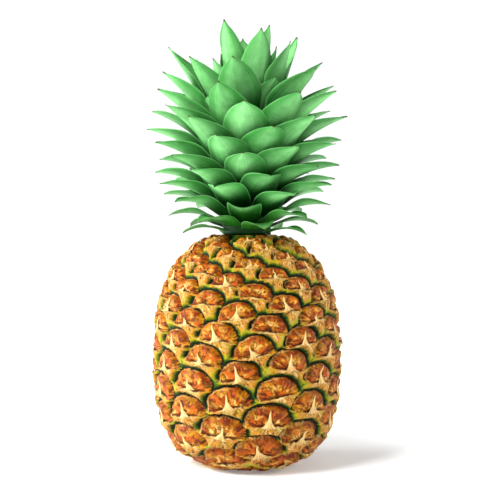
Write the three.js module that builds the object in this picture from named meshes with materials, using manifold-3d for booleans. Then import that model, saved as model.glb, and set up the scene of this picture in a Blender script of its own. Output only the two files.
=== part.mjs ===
// A ripe pineapple with its crown, standing on its cut base.
//
// Millimetres, +Z up. The origin is the middle of the resting plane, under the cut stalk,
// and -Y is the front. Angles round the fruit are measured from the front towards +X.

import * as THREE from "three";
import { mergeVertices } from "three/addons/utils/BufferGeometryUtils.js";
import Module from "manifold-3d";

// ---------------------------------------------------------------- driving dimensions

const FRUIT_RADIUS = 60; // at the widest place, over the eyes
const FRUIT_WIDEST_Z = 70;
const FRUIT_LOWER_REACH = 71.2; // a little more than the height, which flattens the base
const FRUIT_UPPER_REACH = 79.4;
const FRUIT_LOWER_POWER = 3; // how square the lower shoulder is
const FRUIT_UPPER_POWER = 2.5;
const FRUIT_TOP_Z = 147.6; // the seat that carries the crown
const FRUIT_SIDES = 72;
const FRUIT_ROWS = 38;

const STALK_RADIUS = 12.4;
const STALK_HEIGHT = 5;
const RIM_WIDTH = 1.5; // of smooth skin round the stalk and round the crown's seat
const GAP = 0.35; // between neighbouring bodies

const GROOVE_DEPTH = 2.4;
const EYE_FIRST = -74; // eyes are numbered along one spiral, upwards
const EYE_LAST = 64;
const EYE_ZERO_Z = 93.1; // height of eye number 0
const EYE_ZERO_ANGLE = 13.9;
const EYE_DIVERGENCE = -137.628; // degrees from one eye to the next
const EYE_DRIFT = 0.00484; // and how that step changes up the fruit
const EYE_AREA = 376; // of skin for eye number 0, in square millimetres
const EYE_SHRINK = 0.0075; // share of the area lost with each eye upwards
const EYE_HALF_WIDTH = 12.2; // of eye number 0, and its reach up and down from its middle
const EYE_REACH_UP = 10;
const EYE_REACH_DOWN = 11.2;
const ARCH_POWER = 2.3; // how square the upper edge of an eye is, and the lower one
const POINT_POWER = 1.7;
const EYE_REACH_OUT = 15; // skin further than this above or below an eye is not part of it

const LEAF_COUNT = 96;
const JOINED_LEAVES = 39; // the short lowest leaves, which are one body with the stem
const LEAF_ZERO_ANGLE = 202;
const LEAF_DIVERGENCE = -137.1;
const STEM_FOOT_Z = 149.8; // where the lowest leaf leaves the stem
const STEM_RISE = 66;
const STEM_RADIUS = 17.5; // where the lowest leaf leaves it
const STEM_TIP_RADIUS = 1.5;
const BLADE_THICKNESS = 0.9;
const EDGE_THICKNESS = 0.35;
const STEM_CLEARANCE = 2.1; // from the stem to the root of a leaf with its own node
const ROOT_DEPTH = 2.5; // how far a joined leaf reaches into the stem

// Growth of the leaves at these shares of the way from the lowest to the innermost one.
const LEAF_STAGES = [0, 0.2, 0.4, 0.6, 0.8, 0.92, 1];
const LEAF_LENGTH = [24, 43, 48, 62, 68, 51, 74];
const LEAF_HALF_WIDTH = [9, 12, 14, 15, 15, 13, 12.5];
const LEAF_RISE = [19, 36, 43, 48, 60, 67, 76]; // degrees above level where it leaves the stem
const LEAF_TIP_RISE = [-34, -1, 2, 15, 46, 86, 82]; // degrees above level at its tip
const LEAF_CHANNEL = [2, 6, 7.5, 7.5, 7, 4, 4]; // depth of the hollow along the blade
const LEAF_CLASP = [26, 26, 26, 26, 28, 36, 58]; // degrees that half a blade wraps, at most
const LEAF_CURL = 1.2; // how late along the blade it bends
const FRONT_RISE = 26; // degrees

// Leaves that grew unlike their neighbours: [share of the usual length, degrees turned
// round the stem, degrees raised].
const ODD_LEAVES = {
  46: [1, 0, -8],
  49: [1.03, 0, 2],
  51: [1, -6, 2],
  56: [1, 0, 4],
  67: [0.6, 0, -4],
  70: [0.7, 0, 0],
  75: [1, -9, 0],
  76: [1.2, 28, 8],
  80: [0.75, 0, 0],
  81: [1, 0, 8],
  82: [1.3, 0, 6],
  83: [0.7, 0, 0],
  85: [1.2, 0, 0],
  88: [1.3, 5, 0],
  91: [1.17, -8, 0],
  94: [0.8, 0, 0],
  95: [0.85, 0, 0],
};

// ---------------------------------------------------------------- small helpers

const RAD = Math.PI / 180;

function clamp(x, low, high) {
  return Math.min(high, Math.max(low, x));
}

function smooth(low, high, x) {
  const t = clamp((x - low) / (high - low), 0, 1);
  return t * t * (3 - 2 * t);
}

// A value that grows along straight lines between the leaf stages.
function atStage(values, share) {
  let i = LEAF_STAGES.findIndex((stage) => stage >= share);
  i = Math.max(1, i);
  const part = (share - LEAF_STAGES[i - 1]) / (LEAF_STAGES[i] - LEAF_STAGES[i - 1]);
  return THREE.MathUtils.lerp(values[i - 1], values[i], part);
}

// A point from its distance to the axis, its angle from the front and its height.
function polar(radius, angle, z) {
  return new THREE.Vector3(radius * Math.sin(angle), -radius * Math.cos(angle), z);
}

// ---------------------------------------------------------------- outline of the fruit

// The side of the fruit over the eyes, from the axis at the base up to the crown seat.
function sideOutline(steps) {
  const points = [];
  const upperEnd = Math.asin(
    ((FRUIT_TOP_Z - FRUIT_WIDEST_Z) / FRUIT_UPPER_REACH) ** (FRUIT_UPPER_POWER / 2),
  );
  for (let i = 0; i <= steps; i++) {
    const turn = THREE.MathUtils.lerp(-Math.PI / 2, upperEnd, i / steps);
    const upper = turn > 0;
    const power = upper ? FRUIT_UPPER_POWER : FRUIT_LOWER_POWER;
    const reach = upper ? FRUIT_UPPER_REACH : FRUIT_LOWER_REACH;
    const radius = FRUIT_RADIUS * Math.cos(turn) ** (2 / power);
    const rise = Math.sign(turn) * reach * Math.abs(Math.sin(turn)) ** (2 / power);
    points.push(new THREE.Vector2(radius, Math.max(0, FRUIT_WIDEST_Z + rise)));
  }
  return points;
}

// The same outline measured by its length, so that rows and eyes can be spaced on it.
class Outline {
  constructor(points) {
    this.points = points;
    this.lengths = [0];
    for (let i = 1; i < points.length; i++)
      this.lengths.push(this.lengths[i - 1] + points[i].distanceTo(points[i - 1]));
    this.length = this.lengths.at(-1);
  }

  // The point at a length along the outline, and the direction that it faces there.
  at(length) {
    let i = this.lengths.findIndex((value) => value >= length);
    i = clamp(i, 1, this.points.length - 1);
    const share = (length - this.lengths[i - 1]) / (this.lengths[i] - this.lengths[i - 1]);
    const point = this.points[i - 1].clone().lerp(this.points[i], share);
    const run = this.points[i].clone().sub(this.points[i - 1]).normalize();
    return { point, run, normal: new THREE.Vector2(run.y, -run.x) };
  }

  lengthAtHeight(z) {
    const i = this.points.findIndex((point) => point.y >= z);
    return this.lengths[i];
  }
}

const outline = new Outline(sideOutline(600));

// ---------------------------------------------------------------- the eyes

// Each eye takes its own area of skin, so its step along the outline follows from the girth.
function makeEyes() {
  const eyes = [];
  const zero = outline.lengthAtHeight(EYE_ZERO_Z);
  for (const way of [1, -1]) {
    let length = zero;
    const last = way > 0 ? EYE_LAST : EYE_FIRST;
    for (let k = way > 0 ? 0 : -1; k * way <= last * way; k += way) {
      const area = EYE_AREA * Math.exp(-EYE_SHRINK * k);
      if (k !== 0) length += (way * area) / (2 * Math.PI * outline.at(length).point.x);
      eyes.push(makeEye(k, length, area));
    }
  }
  return eyes;
}

function makeEye(k, length, area) {
  const { point, run, normal } = outline.at(length);
  const angle = (EYE_ZERO_ANGLE + EYE_DIVERGENCE * k + EYE_DRIFT * k * k) * RAD;
  return {
    size: Math.sqrt(area / EYE_AREA),
    centre: polar(point.x, angle, point.y),
    across: polar(1, angle + Math.PI / 2, 0),
    up: polar(run.x, angle, run.y),
    out: polar(normal.x, angle, normal.y),
  };
}

// How far a point is from the middle of an eye, where 1 is about its edge: the upper edge
// is a round arch and the lower one comes to a blunt point between the two eyes below.
function reachInEye(eye, point) {
  const from = point.clone().sub(eye.centre).divideScalar(eye.size);
  const across = Math.abs(from.dot(eye.across)) / EYE_HALF_WIDTH;
  const up = from.dot(eye.up);
  const out = from.dot(eye.out) / EYE_REACH_OUT;
  const high = up > 0 ? up / EYE_REACH_UP : -up / EYE_REACH_DOWN;
  const power = up > 0 ? ARCH_POWER : POINT_POWER;
  return (across ** power + high ** power) ** (1 / power) + out ** 4;
}

// How far the skin lies below the outline: each eye is a low dome, with a groove round it.
function grooveDepth(eyes, point) {
  const reach = Math.min(...eyes.map((eye) => reachInEye(eye, point)));
  return GROOVE_DEPTH * smooth(0.3, 1.05, reach);
}

// ---------------------------------------------------------------- the fruit

// Half of the fruit's section: the bed of the stalk, the side, and the seat of the crown.
function fruitSection() {
  const bed = STALK_RADIUS + GAP;
  const first = outline.points.findIndex((point) => point.x > bed + RIM_WIDTH);
  const start = outline.lengths[first];
  const section = [
    new THREE.Vector2(0, STALK_HEIGHT + GAP),
    new THREE.Vector2(bed, STALK_HEIGHT + GAP),
    new THREE.Vector2(bed, 0),
  ];
  for (let row = 0; row <= FRUIT_ROWS; row++)
    section.push(outline.at(THREE.MathUtils.lerp(start, outline.length, row / FRUIT_ROWS)).point);
  section.push(new THREE.Vector2(STEM_RADIUS, FRUIT_TOP_Z));
  section.push(new THREE.Vector2(0, FRUIT_TOP_Z));
  return section;
}

function fruitGeometry() {
  const eyes = makeEyes();
  const geometry = new THREE.LatheGeometry(fruitSection(), FRUIT_SIDES).rotateX(Math.PI / 2);
  const position = geometry.getAttribute("position");
  const point = new THREE.Vector3();
  for (let i = 0; i < position.count; i++) {
    point.fromBufferAttribute(position, i);
    const radius = Math.hypot(point.x, point.y);
    const smoothRadius = point.z < FRUIT_WIDEST_Z ? STALK_RADIUS + RIM_WIDTH : STEM_RADIUS + RIM_WIDTH;
    if (radius < smoothRadius) continue;
    const normal = sideNormal(radius, point.z);
    const depth = grooveDepth(eyes, point);
    const angle = Math.atan2(point.x, -point.y);
    point.copy(polar(radius - normal.x * depth, angle, point.z - normal.y * depth));
    position.setXYZ(i, point.x, point.y, Math.max(0, point.z));
  }
  return geometry;
}

// The direction that the side faces at a point of it, in the plane of the section.
function sideNormal(radius, z) {
  const upper = z > FRUIT_WIDEST_Z;
  const power = upper ? FRUIT_UPPER_POWER : FRUIT_LOWER_POWER;
  const reach = upper ? FRUIT_UPPER_REACH : FRUIT_LOWER_REACH;
  const rise = (z - FRUIT_WIDEST_Z) / reach;
  return new THREE.Vector2(
    (radius / FRUIT_RADIUS) ** (power - 1) / FRUIT_RADIUS,
    (Math.sign(rise) * Math.abs(rise) ** (power - 1)) / reach,
  ).normalize();
}

// ---------------------------------------------------------------- a leaf

// The stem is a tall dome that ends in the growing tip.
function stemRadius(share) {
  return STEM_TIP_RADIUS + (STEM_RADIUS - STEM_TIP_RADIUS) * (1 - share ** 2.5) ** 0.6;
}

// How much more a leaf at the front turns its tip up: most of all halfway up the crown.
function frontRise(share, angle) {
  const middle = smooth(0.2, 0.4, share) * (1 - smooth(0.62, 0.8, share));
  return FRONT_RISE * middle * Math.max(0, Math.cos(angle)) ** 1.5;
}

// Everything that one leaf grows by, from its place on the spiral.
function leafGrowth(k) {
  const share = k / (LEAF_COUNT - 1);
  const [stretch, turn, raise] = ODD_LEAVES[k] ?? [1, 0, 0];
  const angle = (LEAF_ZERO_ANGLE + LEAF_DIVERGENCE * k + turn) * RAD;
  return {
    angle,
    radius: stemRadius(share),
    z: STEM_FOOT_Z + STEM_RISE * share,
    length: atStage(LEAF_LENGTH, share) * stretch,
    halfWidth: atStage(LEAF_HALF_WIDTH, share),
    rise: atStage(LEAF_RISE, share) * RAD,
    tipRise: (atStage(LEAF_TIP_RISE, share) + raise + frontRise(share, angle)) * RAD,
    channel: atStage(LEAF_CHANNEL, share),
    clasp: atStage(LEAF_CLASP, share) * RAD,
  };
}

// The midrib: distance from the axis, height and slope at each share of the leaf's length.
function midrib(leaf, shares) {
  const steps = 60;
  const rib = [];
  let radius = leaf.radius;
  let z = leaf.z;
  let slope = leaf.rise;
  for (let i = 0; i <= steps; i++) {
    rib.push([radius, z, slope]);
    slope = leaf.rise + (leaf.tipRise - leaf.rise) * ((i + 0.5) / steps) ** LEAF_CURL;
    radius += (Math.cos(slope) * leaf.length) / steps;
    z += (Math.sin(slope) * leaf.length) / steps;
  }
  return shares.map((share) => rib[Math.round(share * steps)]);
}

// Width of the blade at a share of its length: broad below the middle, drawn to a point.
function bladeWidth(share) {
  return (0.72 + 0.9 * share) * (1 - share ** 2.8);
}

// One ring of points round the blade at a station: over the hollow side, back underneath.
function bladeRing(leaf, share, [radius, z, slope], across) {
  const halfWidth = leaf.halfWidth * bladeWidth(share);
  const channel = leaf.channel * smooth(0.2, 0.7, share) * (1 - share ** 3);
  const half = across.map((side) => {
    const thickness = THREE.MathUtils.lerp(BLADE_THICKNESS, EDGE_THICKNESS, Math.abs(side));
    return { side, thickness: thickness * (1 - 0.6 * share) };
  });
  const point = ({ side, thickness }, face) => {
    const lift = channel * Math.abs(side) ** 1.6 + (face * thickness) / 2;
    const out = radius - Math.sin(slope) * lift;
    const turn = side * Math.min(halfWidth / out, leaf.clasp);
    return polar(out, leaf.angle + turn, z + Math.cos(slope) * lift);
  };
  return [...half.map((p) => point(p, 1)), ...half.reverse().map((p) => point(p, -1))];
}

// A closed body through rings of equal count: its first end joins the points over the blade
// to those under it, and its last end is a point. Its squares are split along the same diagonals
// over the blade and under it, so that its two thin walls never cross.
function loft(rings, tip) {
  const count = rings[0].length;
  const points = [...rings.flat(), tip];
  const last = points.length - 1;
  const faces = [];
  for (let i = 0; i < count / 2 - 1; i++) {
    const under = count - 1 - i;
    faces.push(i, i + 1, under - 1, i, under - 1, under);
  }
  for (let ring = 0; ring < rings.length; ring++)
    for (let i = 0; i < count; i++) {
      const a = ring * count + i;
      const b = ring * count + ((i + 1) % count);
      if (ring === rings.length - 1) faces.push(a, last, b);
      else if (i < count / 2) faces.push(a, a + count, b + count, a, b + count, b);
      else faces.push(a, a + count, b, a + count, b + count, b);
    }
  const geometry = new THREE.BufferGeometry().setFromPoints(points);
  geometry.setIndex(faces);
  geometry.computeVertexNormals();
  return geometry;
}

function leafGeometry(leaf, stations, across) {
  const rib = midrib(leaf, stations);
  const rings = stations.slice(0, -1).map((share, i) => bladeRing(leaf, share, rib[i], across));
  const [radius, z] = rib.at(-1);
  return loft(rings, polar(radius, leaf.angle, z));
}

// ---------------------------------------------------------------- bodies of the crown

const STEM_STATIONS = [0.3, 0.55, 0.75, 0.88, 0.95];
const LONG_STATIONS = [0, 0.2, 0.45, 0.7, 0.88, 1];
const LONG_ACROSS = [-1, -0.5, 0, 0.5, 1];
const SHORT_STATIONS = [0, 0.4, 0.75, 1];
const SHORT_ACROSS = [-1, 0, 1];

const wasm = await Module();
wasm.setup();

function toSolid(geometry) {
  const bare = new THREE.BufferGeometry().setAttribute("position", geometry.getAttribute("position"));
  bare.setIndex(geometry.index);
  const merged = mergeVertices(bare, 1e-3);
  return new wasm.Manifold(
    new wasm.Mesh({
      numProp: 3,
      vertProperties: merged.getAttribute("position").array,
      triVerts: new Uint32Array(merged.index.array),
    }),
  );
}

function fromSolid(solid) {
  const mesh = solid.getMesh();
  const geometry = new THREE.BufferGeometry();
  geometry.setAttribute("position", new THREE.BufferAttribute(mesh.vertProperties, mesh.numProp));
  geometry.setIndex(new THREE.BufferAttribute(mesh.triVerts, 1));
  return geometry;
}

// The stem inside the leaf bases, with the short lowest leaves standing out of it.
function stemGeometry() {
  const foot = FRUIT_TOP_Z + GAP;
  const section = [new THREE.Vector2(0, foot), new THREE.Vector2(STEM_RADIUS - STEM_CLEARANCE, foot)];
  for (const share of STEM_STATIONS) {
    const radius = stemRadius(share) - STEM_CLEARANCE;
    section.push(new THREE.Vector2(radius, STEM_FOOT_Z + STEM_RISE * share));
  }
  section.push(new THREE.Vector2(0, section.at(-1).y + 1));
  let stem = toSolid(new THREE.LatheGeometry(section, 24).rotateX(Math.PI / 2));
  for (let k = 0; k < JOINED_LEAVES; k++) {
    const leaf = leafGrowth(k);
    leaf.radius -= ROOT_DEPTH;
    leaf.z -= ROOT_DEPTH * Math.tan(leaf.rise);
    leaf.length += ROOT_DEPTH / Math.cos(leaf.rise);
    stem = stem.add(toSolid(leafGeometry(leaf, SHORT_STATIONS, SHORT_ACROSS)));
  }
  return fromSolid(stem);
}

function stalkGeometry() {
  const section = [
    new THREE.Vector2(0, 0),
    new THREE.Vector2(STALK_RADIUS - 0.6, 0),
    new THREE.Vector2(STALK_RADIUS, 0.6),
    new THREE.Vector2(STALK_RADIUS, STALK_HEIGHT),
    new THREE.Vector2(0, STALK_HEIGHT),
  ];
  return new THREE.LatheGeometry(section, 32).rotateX(Math.PI / 2);
}

// ---------------------------------------------------------------- assembly

function piece(name, geometry, color, roughness) {
  const material = new THREE.MeshStandardMaterial({ color, roughness, metalness: 0 });
  const mesh = new THREE.Mesh(geometry, material);
  mesh.name = name;
  return mesh;
}

const pineapple = new THREE.Group();
pineapple.name = "pineapple";
pineapple.add(piece("fruit", fruitGeometry(), 0xd08a2c, 0.45));
pineapple.add(piece("stalk_stub", stalkGeometry(), 0xb89b6a, 0.9));
pineapple.add(piece("crown_stem", stemGeometry(), 0x6f9a4a, 0.6));
for (let k = JOINED_LEAVES; k < LEAF_COUNT; k++) {
  const name = "leaf_" + String(k - JOINED_LEAVES + 1).padStart(2, "0");
  const geometry = leafGeometry(leafGrowth(k), LONG_STATIONS, LONG_ACROSS);
  pineapple.add(piece(name, geometry, 0x3fa04c, 0.5));
}

export default pineapple;
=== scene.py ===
"""A ripe pineapple with its crown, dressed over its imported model."""

import math

import bpy
import numpy as np
from bpy.props import FloatProperty, FloatVectorProperty, IntProperty, PointerProperty
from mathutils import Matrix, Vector, noise
from mathutils.bvhtree import BVHTree


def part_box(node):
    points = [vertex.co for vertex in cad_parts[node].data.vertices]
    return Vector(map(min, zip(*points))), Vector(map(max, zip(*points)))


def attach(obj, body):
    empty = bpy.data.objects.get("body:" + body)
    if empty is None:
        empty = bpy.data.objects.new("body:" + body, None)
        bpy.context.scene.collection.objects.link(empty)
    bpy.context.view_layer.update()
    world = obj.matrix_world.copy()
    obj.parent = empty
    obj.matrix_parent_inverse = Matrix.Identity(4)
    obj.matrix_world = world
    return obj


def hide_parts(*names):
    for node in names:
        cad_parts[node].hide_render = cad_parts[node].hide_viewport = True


bl_info = {
    "name": "Pineapple",
    "version": (1, 0, 0),
    "blender": (4, 5, 0),
    "location": "3D View > Sidebar > Pineapple",
    "description": "Grows the rind, stalk and crown of a pineapple over its model",
    "category": "Add Mesh",
}

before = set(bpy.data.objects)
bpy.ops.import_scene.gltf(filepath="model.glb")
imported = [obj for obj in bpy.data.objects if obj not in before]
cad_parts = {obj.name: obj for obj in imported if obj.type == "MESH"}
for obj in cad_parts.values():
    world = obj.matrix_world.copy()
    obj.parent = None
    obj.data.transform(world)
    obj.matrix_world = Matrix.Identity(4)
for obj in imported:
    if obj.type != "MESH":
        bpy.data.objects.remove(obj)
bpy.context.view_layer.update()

# ---------------------------------------------------------------- how the fruit grows
# Lengths are in metres. The frame's +Z is up and -Y is the front.

FRUIT_RADIUS = 0.060
WIDEST_Z = 0.070
LOWER_REACH = 0.0712
UPPER_REACH = 0.0794
LOWER_POWER = 3.0
UPPER_POWER = 2.5
TOP_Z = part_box("fruit")[1].z
STALK_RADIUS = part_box("stalk_stub")[1].x
STALK_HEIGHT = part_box("stalk_stub")[1].z
BED_GAP = 0.00035
RIM_WIDTH = 0.0015
RIND_ROWS = 232
RIND_SIDES = 400
STALK_SIDES = 96

EYE_FIRST = -74
EYE_LAST = 69
EYE_ZERO_Z = 0.0931
EYE_ZERO_ANGLE = 13.9
EYE_DIVERGENCE = -137.628
EYE_DRIFT = 0.00484
EYE_AREA = 376e-6
EYE_SHRINK = 0.0075
EYE_REACH_OUT = 0.015
EYE_LEAN = 9  # degrees that an eye may lean to either side
LINE_Y = -0.0028  # from the middle of an eye to its slit, where its bract begins
ARCH_WIDTH = 0.0121  # half the disc of lobes that stands on the slit, and its height
ARCH_HEIGHT = 0.0110
ARCH_POWER = 2.3
BRACT_WIDTH = 0.0138  # half the bract at the slit, and how far it hangs below
BRACT_HEIGHT = 0.0112
BRACT_POWER = 1.6
STRAY_PITCH = 0.009  # of the noise that makes the edges of eyes wander, and how far
STRAY_REACH = 0.0011
STRAY_SEED = 5  # without one, every run would grow another rind
SLIT_DEPTH = 0.0011
BRACT_DROP = 0.0009  # from a bract to its lower edge
FLUTE_HEIGHT = 0.00018  # of the folds down a bract
PORE_HEIGHT = 0.00022  # of the finest roughness
EASE = 0.012  # share of the rind's rows over which the relief begins and ends
TIPS_LOST = 0.16  # share of the eyes whose dry tip has fallen off
TIP_STATIONS = 12
TIP_SIDES = 10
SPINE_LOWEST = 0.0004  # how near the floor a tip's spine, its end and its edges may come
END_LOWEST = 0.0002
EDGE_LOWEST = 0.0001
SHEEN = 0.16  # of the waxy skin of rind and leaves

# ---------------------------------------------------------------- how the crown grows

LEAF_COUNT = 96
JOINED_LEAVES = 39
LEAF_ZERO_ANGLE = 202
LEAF_DIVERGENCE = -137.1
STEM_FOOT_Z = 0.1498
STEM_RISE = 0.066
STEM_RADIUS = 0.0175
STEM_TIP_RADIUS = 0.0015
STEM_CLEARANCE = 0.0021
STEM_SIDES = 48
BLADE_THICKNESS = 0.0009
EDGE_THICKNESS = 0.00035
ROOT_DEPTH = 0.0025
LEAF_CURL = 1.2
FRONT_RISE = 26  # degrees

# Growth at these shares of the way from the lowest leaf to the innermost one.
LEAF_STAGES = [0, 0.2, 0.4, 0.6, 0.8, 0.92, 1]
LEAF_LENGTH = [0.024, 0.043, 0.048, 0.062, 0.068, 0.051, 0.074]
LEAF_HALF_WIDTH = [0.009, 0.012, 0.014, 0.015, 0.015, 0.013, 0.0125]
LEAF_RISE = [19, 36, 43, 48, 60, 67, 76]
LEAF_TIP_RISE = [-34, -1, 2, 15, 46, 86, 82]
LEAF_CHANNEL = [0.002, 0.006, 0.0075, 0.0075, 0.007, 0.004, 0.004]
LEAF_CLASP = [26, 26, 26, 26, 28, 36, 58]

# Leaves unlike their neighbours: share of the usual length, degrees turned, degrees raised.
ODD_LEAVES = {
    46: (1, 0, -8),
    49: (1.03, 0, 2),
    51: (1, -6, 2),
    56: (1, 0, 4),
    67: (0.6, 0, -4),
    70: (0.7, 0, 0),
    75: (1, -9, 0),
    76: (1.2, 28, 8),
    80: (0.75, 0, 0),
    81: (1, 0, 8),
    82: (1.3, 0, 6),
    83: (0.7, 0, 0),
    85: (1.2, 0, 0),
    88: (1.3, 5, 0),
    91: (1.17, -8, 0),
    94: (0.8, 0, 0),
    95: (0.85, 0, 0),
}


def display(red, green, blue):
    """A colour as a screen shows it, 0 to 255, turned to the linear values that materials use."""
    parts = (red / 255, green / 255, blue / 255)
    return tuple(c / 12.92 if c <= 0.04045 else ((c + 0.055) / 1.055) ** 2.4 for c in parts)


def colour_property(name, description, red, green, blue):
    return FloatVectorProperty(
        name=name,
        description=description,
        default=display(red, green, blue),
        subtype="COLOR",
        size=3,
        min=0,
        max=1,
    )


# ---------------------------------------------------------------- settings


class PineappleRind(bpy.types.PropertyGroup):
    """Sizes and colours of the rind."""

    groove: FloatProperty(
        name="Groove",
        description="Depth of the grooves between the eyes",
        default=0.0030,
        unit="LENGTH",
    )
    lobe: FloatProperty(
        name="Lobe",
        description="Height of the two lobes in the upper half of an eye",
        default=0.0010,
        unit="LENGTH",
    )
    bract: FloatProperty(
        name="Bract",
        description="How far the edge of a bract stands over the slit of its eye",
        default=0.0011,
        unit="LENGTH",
    )
    orange: colour_property("Orange", "The lobes", 178, 82, 4)
    # Ember is partly the lobes' own red-brown and partly painted shade: in their low rays and
    # towards the top of a disc.
    ember: colour_property("Ember", "The deep parts of the lobes", 108, 32, 2)
    peach: colour_property("Peach", "The pale pieces of a lobe", 240, 190, 112)
    # Gold is a bract's own colour, and on the raised folds of the lobes a painted highlight as
    # well.
    gold: colour_property("Gold", "The sides of a bract", 206, 144, 8)
    lime: colour_property("Lime", "The lower edge of a bract", 150, 160, 12)
    moss: colour_property("Moss", "The green walls of the grooves", 34, 88, 6)
    shade: colour_property("Shade", "The bottom of the grooves", 8, 16, 1)
    # Slit is painted shade in the slit under the lobes, in their creases, corners and pits, and
    # the bract's own dark marks as well.
    slit: colour_property("Slit", "The slit under the lobes", 44, 14, 1)
    paper: colour_property("Paper", "The dry middle of a bract", 198, 134, 52)
    cream: colour_property("Cream", "The edge and the tip of a bract", 246, 218, 142)


class PineappleCrown(bpy.types.PropertyGroup):
    """Detail and colours of the crown."""

    stations: IntProperty(
        name="Stations", description="Rings along a leaf", default=26, min=6, max=80
    )
    across: IntProperty(
        name="Across", description="Points over the width of a leaf", default=13, min=5, max=41
    )
    wave: FloatProperty(
        name="Wave",
        description="How far the edge of a leaf strays from its smooth line",
        default=0.0005,
        unit="LENGTH",
    )
    # Mint is the leaves' own pale bloom, and along their edges a painted highlight.
    mint: colour_property("Mint", "The bloom on a leaf", 172, 252, 166)
    leaf: colour_property("Leaf", "A leaf in its full green", 8, 118, 16)
    # Deep is the leaves' own dark streaks, and at the foot of a leaf painted shade.
    deep: colour_property("Deep", "The foot of a leaf", 2, 46, 6)
    olive: colour_property("Olive", "The oldest leaves", 78, 152, 46)
    dry: colour_property("Dry", "Withered tips", 62, 44, 16)


class PineappleStalk(bpy.types.PropertyGroup):
    """Colours of the cut stalk."""

    wood: colour_property("Wood", "The cut face of the stalk", 206, 176, 122)
    fibre: colour_property("Fibre", "The strands in it", 122, 84, 44)


class PineappleStage(bpy.types.PropertyGroup):
    """The camera and the studio round the fruit."""

    distance: FloatProperty(
        name="Distance",
        description="From the camera to the middle of the fruit, over the floor",
        default=0.7172,
        unit="LENGTH",
    )
    camera_height: FloatProperty(
        name="Camera height", description="Over the floor", default=0.1613, unit="LENGTH"
    )
    aim_height: FloatProperty(
        name="Aim height",
        description="Height on the fruit's axis that the camera looks at",
        default=0.1391,
        unit="LENGTH",
    )
    lens: FloatProperty(
        name="Lens", description="Focal length of the camera, in millimetres", default=80.6
    )
    key: FloatProperty(
        name="Key light", description="Power of the main softbox", default=31.5, unit="POWER"
    )
    daylight: FloatProperty(
        name="Daylight", description="Strength of the light from all round", default=0.3
    )


SETTINGS = {
    "pineapple_rind": PineappleRind,
    "pineapple_crown": PineappleCrown,
    "pineapple_stalk": PineappleStalk,
    "pineapple_stage": PineappleStage,
}

# ---------------------------------------------------------------- materials


def sum_of(operation, swapped=False):
    """A method that works out a Value with another value or a plain number."""

    def method(self, other):
        pair = (other, self) if swapped else (self, other)
        return self.finish.maths(operation, *pair)

    return method


class Value:
    """A number that varies over a surface. Sums on it add their nodes to its finish."""

    def __init__(self, finish, socket):
        self.finish = finish
        self.socket = socket

    __add__ = sum_of("ADD")
    __radd__ = sum_of("ADD", swapped=True)
    __sub__ = sum_of("SUBTRACT")
    __rsub__ = sum_of("SUBTRACT", swapped=True)
    __mul__ = sum_of("MULTIPLY")
    __rmul__ = sum_of("MULTIPLY", swapped=True)
    __truediv__ = sum_of("DIVIDE")
    __pow__ = sum_of("POWER")

    def __abs__(self):
        return self.finish.maths("ABSOLUTE", self)

    def capped(self, other=1):
        return self.finish.maths("MINIMUM", self, other)

    def rise(self, low, high):
        """0 under low and 1 over high, with a smooth slope between."""
        settings = {"interpolation_type": "SMOOTHSTEP"}
        inputs = {"Value": self, "From Min": low, "From Max": high}
        node = self.finish.node("ShaderNodeMapRange", settings, inputs)
        return Value(self.finish, node.outputs[0])

    def hump(self, middle, width):
        """1 at the middle, falling to 0 at that width on both sides of it."""
        return 1 - abs(self - middle).rise(0, width)


class Finish:
    """A material and the nodes that make its pattern."""

    def __init__(self, name):
        self.material = bpy.data.materials.new(name)
        self.material.use_nodes = True
        self.tree = self.material.node_tree
        self.tree.nodes.clear()

    def node(self, kind, settings=None, inputs=None):
        node = self.tree.nodes.new(kind)
        for key, value in (settings or {}).items():
            setattr(node, key, value)
        for key, value in (inputs or {}).items():
            if isinstance(value, Value):
                value = value.socket
            if isinstance(value, bpy.types.NodeSocket):
                self.tree.links.new(value, node.inputs[key])
            else:
                node.inputs[key].default_value = value
        return node

    def maths(self, operation, *values):
        node = self.node("ShaderNodeMath", {"operation": operation}, dict(enumerate(values)))
        return Value(self, node.outputs[0])

    def blend(self, share, under, over):
        """A colour between two, by the share of the second one."""
        inputs = {0: share, 6: self.solid(under), 7: self.solid(over)}
        return self.node("ShaderNodeMix", {"data_type": "RGBA"}, inputs).outputs[2]

    def lighten(self, colour, factor):
        """A colour times a number that varies."""
        scaled = {0: colour, "Scale": factor}
        return self.node("ShaderNodeVectorMath", {"operation": "SCALE"}, scaled).outputs[0]

    @staticmethod
    def solid(colour):
        return colour if isinstance(colour, bpy.types.NodeSocket) else (*colour, 1)

    def painted(self, name):
        """An attribute of the mesh, as three values."""
        vector = self.node("ShaderNodeAttribute", {"attribute_name": name}).outputs["Vector"]
        return self.parts(vector)

    def parts(self, vector):
        outputs = self.node("ShaderNodeSeparateXYZ", inputs={0: vector}).outputs
        return [Value(self, output) for output in outputs]

    def vector(self, x, y, z):
        return self.node("ShaderNodeCombineXYZ", inputs={0: x, 1: y, 2: z}).outputs[0]

    def place(self):
        return self.node("ShaderNodeTexCoord").outputs["Object"]

    def grain(self, vector, scale, detail=2, roughness=0.5):
        """Soft noise from 0 to 1 at a place."""
        inputs = {"Vector": vector, "Scale": scale, "Detail": detail, "Roughness": roughness}
        return Value(self, self.node("ShaderNodeTexNoise", inputs=inputs).outputs[0])

    def lottery(self, seed):
        """Three numbers from 0 to 1 that belong to a seed."""
        settings = {"noise_dimensions": "1D"}
        return self.parts(self.node("ShaderNodeTexWhiteNoise", settings, {"W": seed}).outputs[1])

    def bump(self, height, strength=1.0):
        """A normal from a height in millimetres."""
        inputs = {"Height": height, "Strength": strength, "Distance": 0.001}
        return self.node("ShaderNodeBump", inputs=inputs).outputs[0]

    def surface(self, inputs):
        shader = self.node("ShaderNodeBsdfPrincipled", inputs=inputs)
        self.node("ShaderNodeOutputMaterial", inputs={0: shader.outputs[0]})
        return self.material


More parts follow.
